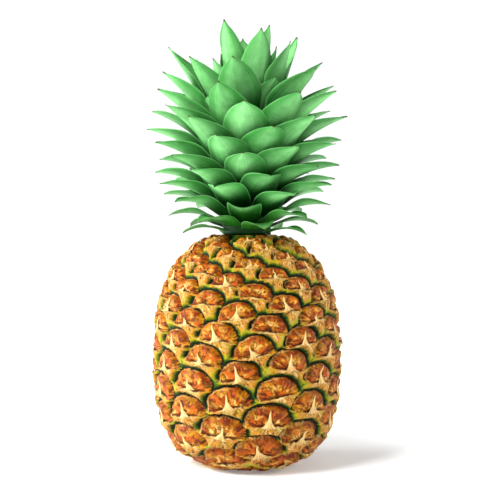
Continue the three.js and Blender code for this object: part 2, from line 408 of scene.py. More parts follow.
def rind_finish(rind):
    finish = Finish("pineapple_rind")
    place = finish.place()
    wander = finish.grain(place, 420, 3) - 0.5
    stray = finish.grain(finish.vector(*finish.parts(place)[::-1]), 390, 3) - 0.5
    blotch = finish.grain(place, 150, 3, 0.55)
    fine = finish.grain(place, 1500, 2, 0.6)

    # The disc of lobes, measured from the middle of the slit that it stands on.
    x, y, seed = finish.painted("disc")
    luck, fate, mood = finish.lottery(seed * 977)
    x = x + 0.19 * wander
    y = y + 0.19 * stray
    side = abs(x)
    arch = (side**ARCH_POWER + abs(y) ** ARCH_POWER) ** (1 / ARCH_POWER)
    turn = finish.maths("ARCTAN2", x, abs(y) + 0.16)
    rays = finish.grain(finish.vector(turn * 5, arch * 2.2, seed * 61), 1, 4, 0.7)
    folds = finish.grain(finish.vector(x * 2.6, y * 3, seed * 29), 1, 4, 0.62)
    teeth = finish.grain(finish.vector(turn * 12, arch * 0.9, seed * 17), 1, 3, 0.6)
    # The lobes' orange goes to ember where the rays sink and to gold on the raised folds: partly
    # their own tones, partly painted shade in the hollows and a painted highlight on the folds.
    lobes = finish.blend(rays.rise(0.34, 0.54), rind.ember, rind.orange)
    lobes = finish.blend(folds.rise(0.44, 0.6) * (0.5 + 0.5 * luck), lobes, rind.gold)
    pale = folds.rise(0.53, 0.6) * rays.rise(0.36, 0.5) * (1 - arch.rise(0.45, 0.85))
    lobes = finish.blend(pale * (0.35 + 0.65 * mood), lobes, rind.peach)
    # Painted shade: thin dark lines in the creases between the folds of the lobes.
    crease = (1 - abs(rays - 0.45).rise(0.004, 0.03)) * (1 - arch.rise(0.8, 0.95))
    lobes = finish.blend(crease * 0.85, lobes, rind.slit)
    # Painted shade: the disc darker towards its top, under the eye above it.
    lobes = finish.blend(y.rise(0.4, 0.9) * (0.3 + 0.5 * fate), lobes, rind.ember)
    # Painted shade: black-brown in the corners of the disc, towards the bract tails.
    corner = side.rise(0.55, 0.9) * teeth.rise(0.45, 0.56)
    lobes = finish.blend(corner * 0.9, lobes, rind.slit)
    beads = arch.hump(0.93, 0.07) * teeth.rise(0.4, 0.52) * (1 - x.rise(-0.2, 0.6))
    lobes = finish.blend(beads * 0.7, lobes, rind.peach)
    # Painted shade: the dark slit under the lobes, and a dark pit in some eyes.
    slit = y.hump(0.03, 0.1) * (1 - side.rise(0.4, 0.9)) * rays.rise(0.36, 0.5)
    pit_x = x + 0.2 * (luck - 0.5)
    pit_y = y - 0.16
    pit = (1 - (pit_x * pit_x * 8 + pit_y * pit_y * 14).rise(0.02, 0.4)) * fate.rise(0.3, 0.6)
    lobes = finish.blend((slit + pit).capped() * 0.9, lobes, rind.slit)

    # The dark crescent over the disc: painted shade at the bottom of the groove, going over to
    # moss on its wall.
    beyond = arch + 0.15 * (teeth - 0.5)
    crescent = finish.blend(beyond.rise(1.02, 1.17), rind.shade, rind.moss)

    # The bract under the slit: papery in the middle, gold at the sides, green at its edge.
    across, down, seed = finish.painted("bract")
    fortune, chance, whim = finish.lottery(seed * 977)
    across = across + 0.1 * wander
    down = -1 * down + 0.1 * stray + 0.12 * (chance - 0.5) * across
    apart = abs(across)
    reach = (apart**BRACT_POWER + abs(down) ** BRACT_POWER) ** (1 / BRACT_POWER)
    fan = finish.maths("ARCTAN2", across, abs(down) + 0.3)
    fibres = finish.grain(finish.vector(fan * 11, reach * 1.6, seed * 47), 1, 4, 0.6)
    crossed = finish.grain(finish.vector(fan * 4, reach * 4.5, seed * 71), 1, 3, 0.65)
    threads = 1 - abs(crossed - 0.5).rise(0.006, 0.034)
    gold = finish.blend(fibres.rise(0.4, 0.58) * 0.8, rind.gold, rind.orange)
    gold = finish.blend(blotch.rise(0.46, 0.6) * (0.15 + 0.5 * whim), gold, rind.lime)
    middle = (1 - (apart + 0.4 * down).rise(0.18, 0.6)) * (0.3 + 0.7 * fortune)
    bract = finish.blend(middle * 0.7, gold, rind.paper)
    marks = (1 - fibres.rise(0.36, 0.46)) * (1 - reach.rise(0.7, 1.1))
    bract = finish.blend(marks * 0.85, bract, rind.ember)
    dark = crossed.rise(0.55, 0.62) * (1 - apart.rise(0.15, 0.55)) * down.rise(0.06, 0.16)
    bract = finish.blend(dark * (1 - down.rise(0.45, 0.65)) * 0.8, bract, rind.slit)
    light = fibres.rise(0.54, 0.61) * (1 - reach.rise(0.35, 0.9))
    bract = finish.blend((light * 0.65 + threads * 0.45).capped(), bract, rind.cream)
    edge = (reach + 0.6 * (fibres - 0.5)).rise(0.62, 0.9)
    bract = finish.blend(edge * (0.45 + 0.55 * fibres.rise(0.4, 0.6)), bract, rind.lime)
    edge = (reach + 0.8 * (fibres - 0.5)).rise(0.92, 1.12)
    bract = finish.blend(edge * 0.9, bract, rind.moss)
    thin = 0.02 + 0.09 * (1 - apart.rise(0, 0.4))
    rim = (1 - abs(down - 0.015).rise(thin * 0.3, thin)) * (0.3 + 0.7 * crossed.rise(0.36, 0.5))
    rim_colour = finish.blend(apart.rise(0.3, 0.8), rind.cream, rind.gold)
    bract = finish.blend(rim * (1 - apart.rise(0.8, 1.1)) * 0.9, bract, rim_colour)
    bare = finish.blend(crossed.rise(0.4, 0.6), rind.gold, rind.paper)
    bract = finish.blend(reach.rise(1.35, 1.6), bract, bare)

    over_slit = y.rise(-0.03, 0.02)
    lying = over_slit * (1 - beyond.rise(0.94, 1.0))
    ring = over_slit * beyond.rise(0.91, 0.99) * (1 - beyond.rise(1.08, 1.24))
    ring = ring * y.rise(-0.02, 0.14)
    colour = finish.blend(lying, bract, lobes)
    colour = finish.blend(ring, colour, crescent)
    colour = finish.lighten(colour, 0.76 + 0.42 * fine)

    height = (0.7 * rays + 0.5 * folds - 0.8 * slit - 0.5 * crease) * lying
    height = height + (0.9 * fibres + 0.5 * rim + 0.4 * threads) * (1 - lying) * (1 - ring)
    height = height + 0.2 * fine + 0.3 * blotch
    roughness = 0.4 + 0.25 * (1 - lying) * middle + 0.2 * fine + 0.2 * ring
    return finish.surface(
        {
            "Base Color": colour,
            "Roughness": roughness,
            "Normal": finish.bump(height, 0.9),
            "Specular IOR Level": SHEEN,
            "Subsurface Weight": 0.03,
            "Subsurface Radius": (0.004, 0.0015, 0.0006),
            "Subsurface Scale": 1.0,
        }
    )


def bract_finish(rind):
    finish = Finish("pineapple_bract_tip")
    across, along, seed = finish.painted("tip")
    place = finish.place()
    fibres = finish.grain(finish.vector(across * 5, along * 2.2, seed * 83), 1, 3, 0.6)
    fine = finish.grain(place, 1800, 2, 0.6)
    colour = finish.blend(fibres.rise(0.35, 0.7), rind.paper, rind.cream)
    colour = finish.blend(along.rise(0.05, 0.4) * 0.6, colour, rind.cream)
    colour = finish.blend(along.rise(0.86, 1.0) * 0.8, colour, rind.ember)
    colour = finish.lighten(colour, 0.62 + 0.4 * fibres)
    return finish.surface(
        {
            "Base Color": colour,
            "Roughness": 0.55 + 0.2 * fine,
            "Normal": finish.bump(0.35 * fibres + 0.1 * fine, 0.8),
        }
    )


def leaf_finish(crown):
    finish = Finish("pineapple_leaf")
    across, along, _ = finish.painted("blade")
    share, seed, _ = finish.painted("growth")
    place = finish.place()
    luck, fate, mood = finish.lottery(seed * 733)
    veins = finish.grain(finish.vector(across * 22, along * 1.3, seed * 59), 1, 3, 0.65)
    streaks = finish.grain(finish.vector(across * 5, along * 0.9, seed * 31), 1, 3, 0.6)
    mottle = finish.grain(place, 130, 3, 0.55)
    fine = finish.grain(place, 2200, 2, 0.6)

    green = finish.blend(0.35 + 0.65 * streaks.rise(0.25, 0.7), crown.deep, crown.leaf)
    bloom = (0.05 + 0.6 * mottle + 0.3 * mood) * along.rise(0.2, 0.7)
    bloom = bloom * (1 - 0.75 * abs(across).rise(0.2, 1.0))
    green = finish.blend(bloom * (0.75 + 0.5 * (veins - 0.5)), green, crown.mint)
    old = 1 - share.rise(0.03, 0.2)
    # Painted shade: the foot of a leaf darkened to deep green, less so on the oldest leaves.
    foot = (1 - (along - 0.12 * abs(across)).rise(0.2, 0.6)) * (0.9 - 0.75 * old)
    green = finish.blend(foot, green, crown.deep)
    # Painted highlight: a thin line of mint along the edges of a leaf.
    green = finish.blend(abs(across).rise(0.93, 1.0) * 0.15, green, crown.mint)
    green = finish.blend(old * (0.05 + 0.4 * streaks), green, crown.olive)
    wither = (along + 0.04 * (streaks - 0.5)).rise(0.965, 0.995)
    wither = (wither + old * 0.3 * (along + mottle - 0.5).rise(0.65, 0.95)).capped()
    colour = finish.blend(wither, green, crown.dry)
    spots = mottle.rise(0.66, 0.72) * fine.rise(0.5, 0.62) * 0.5 * luck
    colour = finish.blend(spots, colour, crown.dry)
    colour = finish.lighten(colour, 0.85 + 0.16 * veins + 0.1 * fine + 0.3 * (fate - 0.5))
    height = 0.3 * veins + 0.12 * streaks + 0.05 * fine
    return finish.surface(
        {
            "Base Color": colour,
            "Roughness": 0.42 + 0.12 * mottle + 0.1 * fine + 0.2 * wither,
            "Normal": finish.bump(height, 0.5),
            "Specular IOR Level": SHEEN,
            "Subsurface Weight": 0.04,
            "Subsurface Radius": (0.001, 0.003, 0.001),
            "Subsurface Scale": 1.0,
        }
    )


def stalk_finish(stalk):
    finish = Finish("pineapple_stalk")
    place = finish.place()
    x, y, z = finish.parts(place)
    strands = finish.node(
        "ShaderNodeTexVoronoi", inputs={"Vector": finish.vector(x, y, z * 0.12), "Scale": 900}
    )
    strand = 1 - Value(finish, strands.outputs["Distance"]).rise(0.1, 0.42)
    radius = (x * x + y * y) ** 0.5 / STALK_RADIUS
    rings = finish.grain(finish.vector(x, y, z * 0.2), 260, 3, 0.6)
    colour = finish.blend(strand * (0.4 + 0.6 * rings), stalk.wood, stalk.fibre)
    colour = finish.blend(radius.rise(0.8, 1.0) * 0.7, colour, stalk.fibre)
    return finish.surface(
        {
            "Base Color": colour,
            "Roughness": 0.8 + 0.1 * rings,
            "Normal": finish.bump(0.5 * strand + 0.6 * rings, 0.9),
        }
    )


# ---------------------------------------------------------------- meshes


class Weave:
    """Closed skins through rings of points, gathered into one mesh with its own unwrapping."""

    def __init__(self, cells=1):
        self.cells = math.ceil(math.sqrt(cells))
        self.count = 0
        self.points = []
        self.quads = []
        self.triangles = []
        self.paint = {}
        self.skins = 0

    def add(self, rings, first, last, paint=None):
        """rings is rows x sides x 3. The first point is None where the rings start flat, as a
        blade does. Paint gives values for both ends and for each ring's points."""
        rows, sides = rings.shape[:2]
        start = self.count + (first is not None)
        self.points += self.present(first, rings, last)
        for name, values in (paint or {}).items():
            self.paint.setdefault(name, []).append(np.vstack(self.present(*values)))
        row, side = np.meshgrid(np.arange(rows - 1), np.arange(sides), indexing="ij")
        after = (side + 1) % sides
        corners = [row * sides + side, row * sides + after]
        corners += [(row + 1) * sides + after, (row + 1) * sides + side]
        u, v, low, high = side / sides, (side + 1) / sides, row + 1, row + 2
        self.faces(self.quads, start, corners, [(u, low), (v, low), (v, high), (u, high)], rows)
        side = np.arange(sides)
        after = (side + 1) % sides
        u, v, middle = side / sides, (side + 1) / sides, (side + 0.5) / sides
        zero = side * 0
        top = (rows - 1) * sides
        corners = [top + side, top + after, zero + top + sides]
        above = [(u, zero + rows), (v, zero + rows), (middle, zero + rows + 1)]
        self.faces(self.triangles, start, corners, above, rows)
        if first is not None:
            below = [(middle, zero), (v, zero + 1), (u, zero + 1)]
            self.faces(self.triangles, start, [zero - 1, after, side], below, rows)
        else:
            side = np.arange(sides // 2 - 1)
            corners = [side, sides - 1 - side, sides - 2 - side, side + 1]
            u, v, zero = side / sides, (side + 1) / sides, side * 0
            below = [(u, zero + 0.6), (u, zero + 0.1), (v, zero + 0.1), (v, zero + 0.6)]
            self.faces(self.quads, start, corners, below, rows)
        self.count = start + rows * sides + 1
        self.skins += 1

    @staticmethod
    def present(*parts):
        return [np.reshape(part, (-1, 3)) for part in parts if part is not None]

    def faces(self, gathered, start, corners, places, rows):
        """Adds faces of equal corners, with their places on the map, in rows up it."""
        column, row = self.skins % self.cells, self.skins // self.cells
        place = np.stack([np.stack([u, level / (rows + 1)], -1) for u, level in places], -2)
        place = (0.01 + 0.98 * place + [column, row]) / self.cells
        count = len(corners)
        corners = start + np.stack(corners, -1).reshape(-1, count)
        gathered.append((corners, place.reshape(-1, count, 2)))

    def mesh(self, name):
        points = np.vstack(self.points)
        faces = []
        for corners, _ in self.quads + self.triangles:
            faces += corners.tolist()
        mesh = bpy.data.meshes.new(name)
        mesh.from_pydata(points.tolist(), [], faces)
        mesh.polygons.foreach_set("use_smooth", [True] * len(mesh.polygons))
        places = [place.reshape(-1, 2) for _, place in self.quads + self.triangles]
        unwrapping = np.vstack(places)
        layer = mesh.uv_layers.new(name="OFBake")
        layer.uv.foreach_set("vector", unwrapping.astype(np.float32).ravel())
        for key, values in self.paint.items():
            paint_on(mesh, key, "POINT", np.vstack(values))
        mesh.validate()
        return mesh


def paint_on(mesh, name, domain, values):
    """Gives a mesh three numbers for each of its points or of its faces' corners."""
    attribute = mesh.attributes.new(name, "FLOAT_VECTOR", domain)
    attribute.data.foreach_set("vector", values.astype(np.float32).ravel())


def show(mesh, material, slot, *nodes):
    """Puts a finished mesh into the scene as a piece that rides on the fruit."""
    piece = bpy.data.objects.new(mesh.name, mesh)
    bpy.context.scene.collection.objects.link(piece)
    mesh.materials.append(material)
    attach(piece, "root")
    if nodes:
        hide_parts(*nodes)
    return piece


def polar(radius, angle, z):
    """Points from their distance to the axis, their angle from the front and their height."""
    parts = np.broadcast_arrays(radius * np.sin(angle), -radius * np.cos(angle), z)
    return np.stack(parts, -1)


def round_about(count):
    """Angles that share out a full turn."""
    return np.arange(count) * 2 * math.pi / count


def slope(low, high, x):
    t = np.clip((x - low) / (high - low), 0, 1)
    return t * t * (3 - 2 * t)


def bell(x, middle, width):
    return np.exp(-(((x - middle) / width) ** 2))


# ---------------------------------------------------------------- the rind


class Outline:
    """The side of the fruit over the eyes, measured by its length from the base up."""

    def __init__(self):
        last = math.asin(((TOP_Z - WIDEST_Z) / UPPER_REACH) ** (UPPER_POWER / 2))
        turn = np.linspace(-math.pi / 2, last, 601)
        power = np.where(turn > 0, UPPER_POWER, LOWER_POWER)
        reach = np.where(turn > 0, UPPER_REACH, LOWER_REACH)
        self.radius = FRUIT_RADIUS * np.clip(np.cos(turn), 0, 1) ** (2 / power)
        rise = np.sign(turn) * reach * np.abs(np.sin(turn)) ** (2 / power)
        self.z = np.maximum(0, WIDEST_Z + rise)
        steps = np.hypot(np.diff(self.radius), np.diff(self.z))
        self.lengths = np.concatenate([[0], np.cumsum(steps)])

    def at(self, length):
        """Radius, height and the way that the side runs, at lengths along it."""
        radius = np.interp(length, self.lengths, self.radius)
        z = np.interp(length, self.lengths, self.z)
        i = np.clip(np.searchsorted(self.lengths, length), 1, len(self.lengths) - 1)
        run = np.array([self.radius[i] - self.radius[i - 1], self.z[i] - self.z[i - 1]])
        return radius, z, run / np.hypot(*run)


class Eyes:
    """The fruitlets on their spiral, each with its own frame on the skin."""

    def __init__(self, outline):
        centres, across, up, out, sizes = [], [], [], [], []
        zero = outline.lengths[np.argmax(outline.z >= EYE_ZERO_Z)]
        for way, last in ((1, EYE_LAST), (-1, EYE_FIRST)):
            length = zero
            for k in range(0 if way > 0 else -1, last + way, way):
                area = EYE_AREA * math.exp(-EYE_SHRINK * k)
                if k:
                    length += way * area / (2 * math.pi * outline.at(length)[0])
                radius, z, run = outline.at(length)
                angle = math.radians(EYE_ZERO_ANGLE + EYE_DIVERGENCE * k + EYE_DRIFT * k * k)
                sizes.append(math.sqrt(area / EYE_AREA))
                centres.append(polar(radius, angle, z))
                across.append(polar(1, angle + math.pi / 2, 0))
                up.append(polar(run[0], angle, run[1]))
                out.append(polar(run[1], angle, -run[0]))
        chance = np.random.default_rng(11)
        lean = np.radians(chance.uniform(-EYE_LEAN, EYE_LEAN, len(sizes)))[:, None]
        self.centres, self.out = np.array(centres), np.array(out)
        self.across = np.array(across) * np.cos(lean) + np.array(up) * np.sin(lean)
        self.up = np.array(up) * np.cos(lean) - np.array(across) * np.sin(lean)
        self.sizes = np.array(sizes) * chance.uniform(0.96, 1.05, len(sizes))
        self.seeds = chance.random(len(sizes))

    def local(self, points, eye):
        """Places across the given eyes, over their slits and out of the skin, for an eye of
        the usual size."""
        away = (points - self.centres[eye]) / self.sizes[eye][..., None]
        x = np.sum(away * self.across[eye], -1)
        y = np.sum(away * self.up[eye], -1) - LINE_Y
        return x, y, np.sum(away * self.out[eye], -1) / EYE_REACH_OUT

    def arch(self, points, eye):
        """How far points are from the middle of an eye's slit, where its disc ends at 1."""
        x, y, z = self.local(points, eye)
        high = np.where(y > 0, y / ARCH_HEIGHT, y * -8 / ARCH_HEIGHT)
        return power_sum(x / ARCH_WIDTH, high, ARCH_POWER) + z**4

    def bract(self, points, eye):
        """How far points are down an eye's bract, which ends at about 1."""
        x, y, z = self.local(points, eye)
        low = np.where(y < 0, -y / BRACT_HEIGHT, y * 5 / BRACT_HEIGHT)
        return power_sum(x / BRACT_WIDTH, low, BRACT_POWER) + z**4

    def nearest(self, points):
        """The eye whose disc and the eye whose bract lies nearest to each point."""
        discs, bracts = [], []
        every = np.arange(len(self.sizes))[None, :]
        batch = 3000  # points at a time, to spare the memory
        for start in range(0, len(points), batch):
            some = points[start : start + batch, None, :]
            discs.append(np.argmin(self.arch(some, every), axis=1))
            bracts.append(np.argmin(self.bract(some, every), axis=1))
        return np.concatenate(discs), np.concatenate(bracts)


def power_sum(x, y, power):
    return (np.abs(x) ** power + np.abs(y) ** power) ** (1 / power)


def strayed(points):
    """Points moved a little by smooth noise, so that lines drawn on them wander."""
    noise.seed_set(STRAY_SEED)
    moves = [noise.noise_vector(Vector(p) / STRAY_PITCH) for p in points]
    return points + STRAY_REACH * np.array(moves)


def rind_relief(rind, eyes, points):
    """Height of the skin over its outline: discs of lobes in their grooves, and the bracts."""
    disc_eye, bract_eye = eyes.nearest(points)
    x, y, _ = eyes.local(points, disc_eye)
    x, y = x / ARCH_WIDTH, y / ARCH_HEIGHT
    arch = eyes.arch(points, disc_eye)
    over_slit = slope(-0.02, 0.2, y)
    groove = (1 - slope(0.0, 0.24, np.abs(arch - 1.02))) * over_slit
    height = -rind.groove * groove
    inside = (1 - slope(0.7, 1.0, arch)) * slope(-0.02, 0.03, y)
    lobes = bell(np.abs(x), 0.42, 0.3) * bell(y, 0.42, 0.3)
    height += rind.lobe * (lobes - 0.5 * bell(x, 0, 0.13) * bell(y, 0.45, 0.3)) * inside
    height -= SLIT_DEPTH * bell(y, 0.05, 0.06) * (1 - slope(0.5, 1.0, np.abs(x))) * inside
    x, y, _ = eyes.local(points, bract_eye)
    x, y = x / BRACT_WIDTH, -y / BRACT_HEIGHT
    reach = eyes.bract(points, bract_eye)
    on_bract = slope(-0.03, 0.01, y) * (1 - groove)
    lip = (1 - slope(0.2, 1.0, y)) * (1 - slope(0.35, 1.05, np.abs(x)))
    height += rind.bract * lip * on_bract
    height -= BRACT_DROP * slope(0.75, 1.15, reach) * on_bract
    seed = eyes.seeds[bract_eye]
    flutes = np.sin(x * 23 + seed * 40) * bell(y, 0.3, 0.25) * (1 - slope(0.5, 0.9, np.abs(x)))
    height += FLUTE_HEIGHT * flutes * on_bract
    return height


class PINEAPPLE_OT_rind(bpy.types.Operator):
    """Grow the rind of the fruit, eye by eye"""

    bl_idname = "pineapple.rind"
    bl_label = "Rind"

    def execute(self, context):
        rind = context.scene.pineapple_rind
        outline = Outline()
        eyes = Eyes(outline)
        bed = STALK_RADIUS + BED_GAP
        start = outline.lengths[np.argmax(outline.radius > bed + RIM_WIDTH)]
        lengths = np.linspace(start, outline.lengths[-1], RIND_ROWS)
        radius, z, run = outline.at(lengths)
        angle = round_about(RIND_SIDES)
        skin = polar(radius[:, None], angle[None, :], z[:, None]).reshape(-1, 3)
        out = polar(run[1][:, None], angle[None, :], -run[0][:, None]).reshape(-1, 3)
        wandering = strayed(skin)
        height = rind_relief(rind, eyes, wandering)
        roughening = [noise.fractal(Vector(p) * 420, 1, 2, 3) for p in skin]
        height += PORE_HEIGHT * np.array(roughening)
        share = np.repeat(np.arange(RIND_ROWS), RIND_SIDES) / (RIND_ROWS - 1)
        height *= slope(0, EASE, share) * slope(0, EASE, 1 - share)
        skin = skin + out * height[:, None]
        skin[:, 2] = np.maximum(skin[:, 2], 0)
        rings = skin.reshape(RIND_ROWS, RIND_SIDES, 3)
        foot = polar(bed, angle, 0)[None]
        wall = polar(bed, angle, STALK_HEIGHT + BED_GAP)[None]
        seat = polar(STEM_RADIUS, angle, TOP_Z)[None]
        rings = np.concatenate([wall, foot, rings, seat])
        weave = Weave()
        weave.add(rings, (0, 0, STALK_HEIGHT + BED_GAP), (0, 0, TOP_Z))
        mesh = weave.mesh("fruit_rind")
        self.mark_eyes(mesh, eyes)
        piece = show(mesh, rind_finish(rind), "rind", "fruit")
        piece["eyes"] = len(eyes.sizes)
        return {"FINISHED"}

    @staticmethod
    def mark_eyes(mesh, eyes):
        """Paints on every face's corners where they lie in the two eyes nearest to the face."""
        places = np.zeros(len(mesh.vertices) * 3)
        mesh.vertices.foreach_get("co", places)
        places = strayed(places.reshape(-1, 3))
        corner = np.zeros(len(mesh.loops), int)
        mesh.loops.foreach_get("vertex_index", corner)
        totals = np.zeros(len(mesh.polygons), int)
        mesh.polygons.foreach_get("loop_total", totals)
        face = np.repeat(np.arange(len(totals)), totals)
        middle = np.stack([np.bincount(face, places[corner, i]) / totals for i in range(3)], -1)
        disc_eye, bract_eye = eyes.nearest(middle)
        for name, eye, size in (
            ("disc", disc_eye[face], (ARCH_WIDTH, ARCH_HEIGHT)),
            ("bract", bract_eye[face], (BRACT_WIDTH, BRACT_HEIGHT)),
        ):
            x, y, _ = eyes.local(places[corner], eye)
            values = np.stack([x / size[0], y / size[1], eyes.seeds[eye]], -1)
            paint_on(mesh, name, "CORNER", values)


class PINEAPPLE_OT_bracts(bpy.types.Operator):
    """Lay the dry tip of each eye's bract over its lobes"""

    bl_idname = "pineapple.bracts"
    bl_label = "Bract tips"

    def execute(self, context):
        rind = context.scene.pineapple_rind
        eyes = Eyes(Outline())
        skin = bpy.data.objects["fruit_rind"].data
        tree = BVHTree.FromPolygons(
            [v.co for v in skin.vertices], [tuple(p.vertices) for p in skin.polygons]
        )
        chance = np.random.default_rng(23)
        weave = Weave(len(eyes.sizes))
        for eye in range(len(eyes.sizes)):
            length, lean, missing, lift = chance.random(4)
            if missing >= TIPS_LOST:
                self.tip(weave, tree, eyes, eye, length, lean, lift)
        show(weave.mesh("bract_tips"), bract_finish(rind), "rind")
        return {"FINISHED"}

    @staticmethod
    def tip(weave, tree, eyes, eye, length, lean, lift):
        """One dry point, whose three numbers from 0 to 1 say how it grew."""
        size = eyes.sizes[eye]
        share = np.linspace(0, 1, TIP_STATIONS)
        top = 0.45 + 0.5 * length
        x = (-0.36 + 0.5 * lean) * share**1.2
        y = -0.05 + (top + 0.05) * share
        stand = (0.0001 + 0.0012 * (0.3 + lift) * share**0.8) * size
        half = size * (0.0034 * (1 - share) ** 5 + 0.0009 * (1 - share**1.5) + 0.00006)
        thick = size * (0.00036 * (1 - share**2) + 0.00008)
        spine, outward = [], []
        for i in range(TIP_STATIONS):
            place = eyes.centres[eye] + size * (
                x[i] * ARCH_WIDTH * eyes.across[eye]
                + (LINE_Y + y[i] * ARCH_HEIGHT) * eyes.up[eye]
            )
            found, normal, _, _ = tree.find_nearest(Vector(place + eyes.out[eye] * 0.001))
            spine.append(found)
            outward.append(normal)
        outward = np.array(outward) + 2 * eyes.out[eye]
        outward /= np.linalg.norm(outward, axis=1)[:, None]
        spine = np.array(spine) + outward * stand[:, None]
        smoothed = spine.copy()
        smoothed[1:-1] = (spine[:-2] + 2 * spine[1:-1] + spine[2:]) / 4
        smoothed[:, 2] = np.maximum(smoothed[:, 2], SPINE_LOWEST)
        across = np.cross(smoothed[-1] - smoothed[1], outward)
        across /= np.linalg.norm(across, axis=1)[:, None]
        turn = round_about(TIP_SIDES)
        wide = np.cos(turn)[None, :, None] * across[:, None, :] * half[:, None, None]
        deep = np.sin(turn)[None, :, None] * outward[:, None, :] * thick[:, None, None]
        rings = smoothed[:, None, :] + wide + deep
        rings[..., 2] = np.maximum(rings[..., 2], EDGE_LOWEST)
        values = np.zeros((TIP_STATIONS, TIP_SIDES, 3))
        values[..., 0] = np.cos(turn)[None, :]
        values[..., 1] = share[:, None]
        values[..., 2] = eyes.seeds[eye]
        paint = ((0, 0, eyes.seeds[eye]), values, (0, 1, eyes.seeds[eye]))
        tip = smoothed[-1] + 0.3 * (smoothed[-1] - smoothed[-2])
        tip[2] = max(tip[2], END_LOWEST)
        weave.add(rings, smoothed[0], tip, {"tip": paint})


class PINEAPPLE_OT_stalk(bpy.types.Operator):
    """Cut the stalk under the fruit"""

    bl_idname = "pineapple.stalk"
    bl_label = "Cut stalk"

    def execute(self, context):
        stalk = context.scene.pineapple_stalk
        angle = round_about(STALK_SIDES)
        flutes = 1 - 0.012 * (1 + np.sin(angle * 17)) - 0.008 * (1 + np.sin(angle * 41))
        section = [(radius, 0.0) for radius in np.linspace(0.0012, 0.0112, 9)]
        section += [(0.0118, 0.0002), (0.0123, 0.0007), (0.0124, 0.0016), (0.0124, 0.0034)]
        section += [(0.0124, 0.0048), (0.012, 0.005), (0.006, 0.005)]
        rings = []
        for radius, z in section:
            worn = flutes if radius > 0.0115 else np.ones(STALK_SIDES)
            ring = polar(radius * worn, angle, z)
            if z == 0:
                rough = [0.00035 * (1 + noise.noise(Vector(p) * 700)) for p in ring]
                ring[:, 2] += np.array(rough) * slope(0.0115, 0.009, radius)
            rings.append(ring)
        weave = Weave()
        weave.add(np.array(rings)[:, ::-1], (0, 0, 0.0003), (0, 0, STALK_HEIGHT))
        mesh = weave.mesh("stalk_cut")
        mesh.flip_normals()
        show(mesh, stalk_finish(stalk), "stalk", "stalk_stub")
        return {"FINISHED"}


# ---------------------------------------------------------------- the crown


def stem_radius(share):
    return STEM_TIP_RADIUS + (STEM_RADIUS - STEM_TIP_RADIUS) * (1 - share**2.5) ** 0.6


def front_rise(share, angle):
    """How much more the leaves at the front turn their tips up, most of all halfway up."""
    middle = slope(0.2, 0.4, share) * (1 - slope(0.62, 0.8, share))
    return FRONT_RISE * middle * max(0, math.cos(angle)) ** 1.5


class Leaf:
    """One leaf of the spiral, from how its place makes it grow."""

    def __init__(self, number):
        share = number / (LEAF_COUNT - 1)
        stretch, turn, raised = ODD_LEAVES.get(number, (1, 0, 0))

        def stage(values):
            return float(np.interp(share, LEAF_STAGES, values))

        self.share = share
        self.angle = math.radians(LEAF_ZERO_ANGLE + LEAF_DIVERGENCE * number + turn)
        self.radius = stem_radius(share)
        self.z = STEM_FOOT_Z + STEM_RISE * share
        self.length = stage(LEAF_LENGTH) * stretch
        self.half_width = stage(LEAF_HALF_WIDTH)
        self.rise = math.radians(stage(LEAF_RISE))
        raised += front_rise(share, self.angle)
        self.tip_rise = math.radians(stage(LEAF_TIP_RISE) + raised)
        self.channel = stage(LEAF_CHANNEL)
        self.clasp = math.radians(stage(LEAF_CLASP))
        self.seed = (number * 0.754877) % 1

    def take_root(self):
        """Reaches the leaf into the stem."""
        self.radius -= ROOT_DEPTH
        self.z -= ROOT_DEPTH * math.tan(self.rise)
        self.length += ROOT_DEPTH / math.cos(self.rise)

    def midrib(self, shares):
        steps = 240
        place = (np.arange(steps) + 0.5) / steps
        turn = self.rise + (self.tip_rise - self.rise) * place**LEAF_CURL
        radius = self.radius + np.concatenate([[0], np.cumsum(np.cos(turn))]) * self.length / steps
        z = self.z + np.concatenate([[0], np.cumsum(np.sin(turn))]) * self.length / steps
        at = np.arange(steps + 1) / steps
        bend = self.rise + (self.tip_rise - self.rise) * shares**LEAF_CURL
        return np.interp(shares, at, radius), np.interp(shares, at, z), bend

    def blade(self, crown):
        """Rings round the blade, its two ends, and what to paint on it."""
        shares = 1 - (1 - np.linspace(0, 0.985, crown.stations)) ** 1.15
        radius, z, bend = (part[:, None] for part in self.midrib(shares))
        along = shares[:, None]
        side = np.linspace(-1, 1, crown.across)[None, :]
        half = self.half_width * (0.72 + 0.9 * along) * (1 - along**2.8)
        half = half * (1 - 0.45 * slope(0.88, 1, along))
        phase = self.seed * 60
        wave = np.sin(along * 9 + phase + side) * np.abs(side) ** 3 * slope(0.1, 0.5, along)
        channel = self.channel * slope(0.2, 0.7, along) * (1 - along**3)
        thick = BLADE_THICKNESS + (EDGE_THICKNESS - BLADE_THICKNESS) * np.abs(side)
        thick = thick * (1 - 0.6 * along)
        rings = []
        for face in (1, -1):
            lift = channel * np.abs(side) ** 1.6 + crown.wave * wave + face * thick / 2
            out = radius - np.sin(bend) * lift
            turn = side * np.minimum(half / out, self.clasp)
            rings.append(polar(out, self.angle + turn, z + np.cos(bend) * lift))
        rings = np.concatenate([rings[0], rings[1][:, ::-1]], axis=1)
        end_radius, end_z, _ = self.midrib(np.array([1.0]))
        last = polar(end_radius[0], self.angle, end_z[0])
        return rings, None, last, self.paint(rings.shape[:2], shares, side[0])

    def paint(self, shape, shares, side):
        blade = np.zeros((*shape, 3))
        blade[..., 0] = np.concatenate([side, side[::-1]])[None, :]
        blade[..., 1] = shares[:, None]
        growth = np.zeros((*shape, 3))
        growth[..., 0] = self.share
        growth[..., 1] = self.seed
        return {
            "blade": (None, blade, (0, 1, 0)),
            "growth": (None, growth, (self.share, self.seed, 0)),
        }


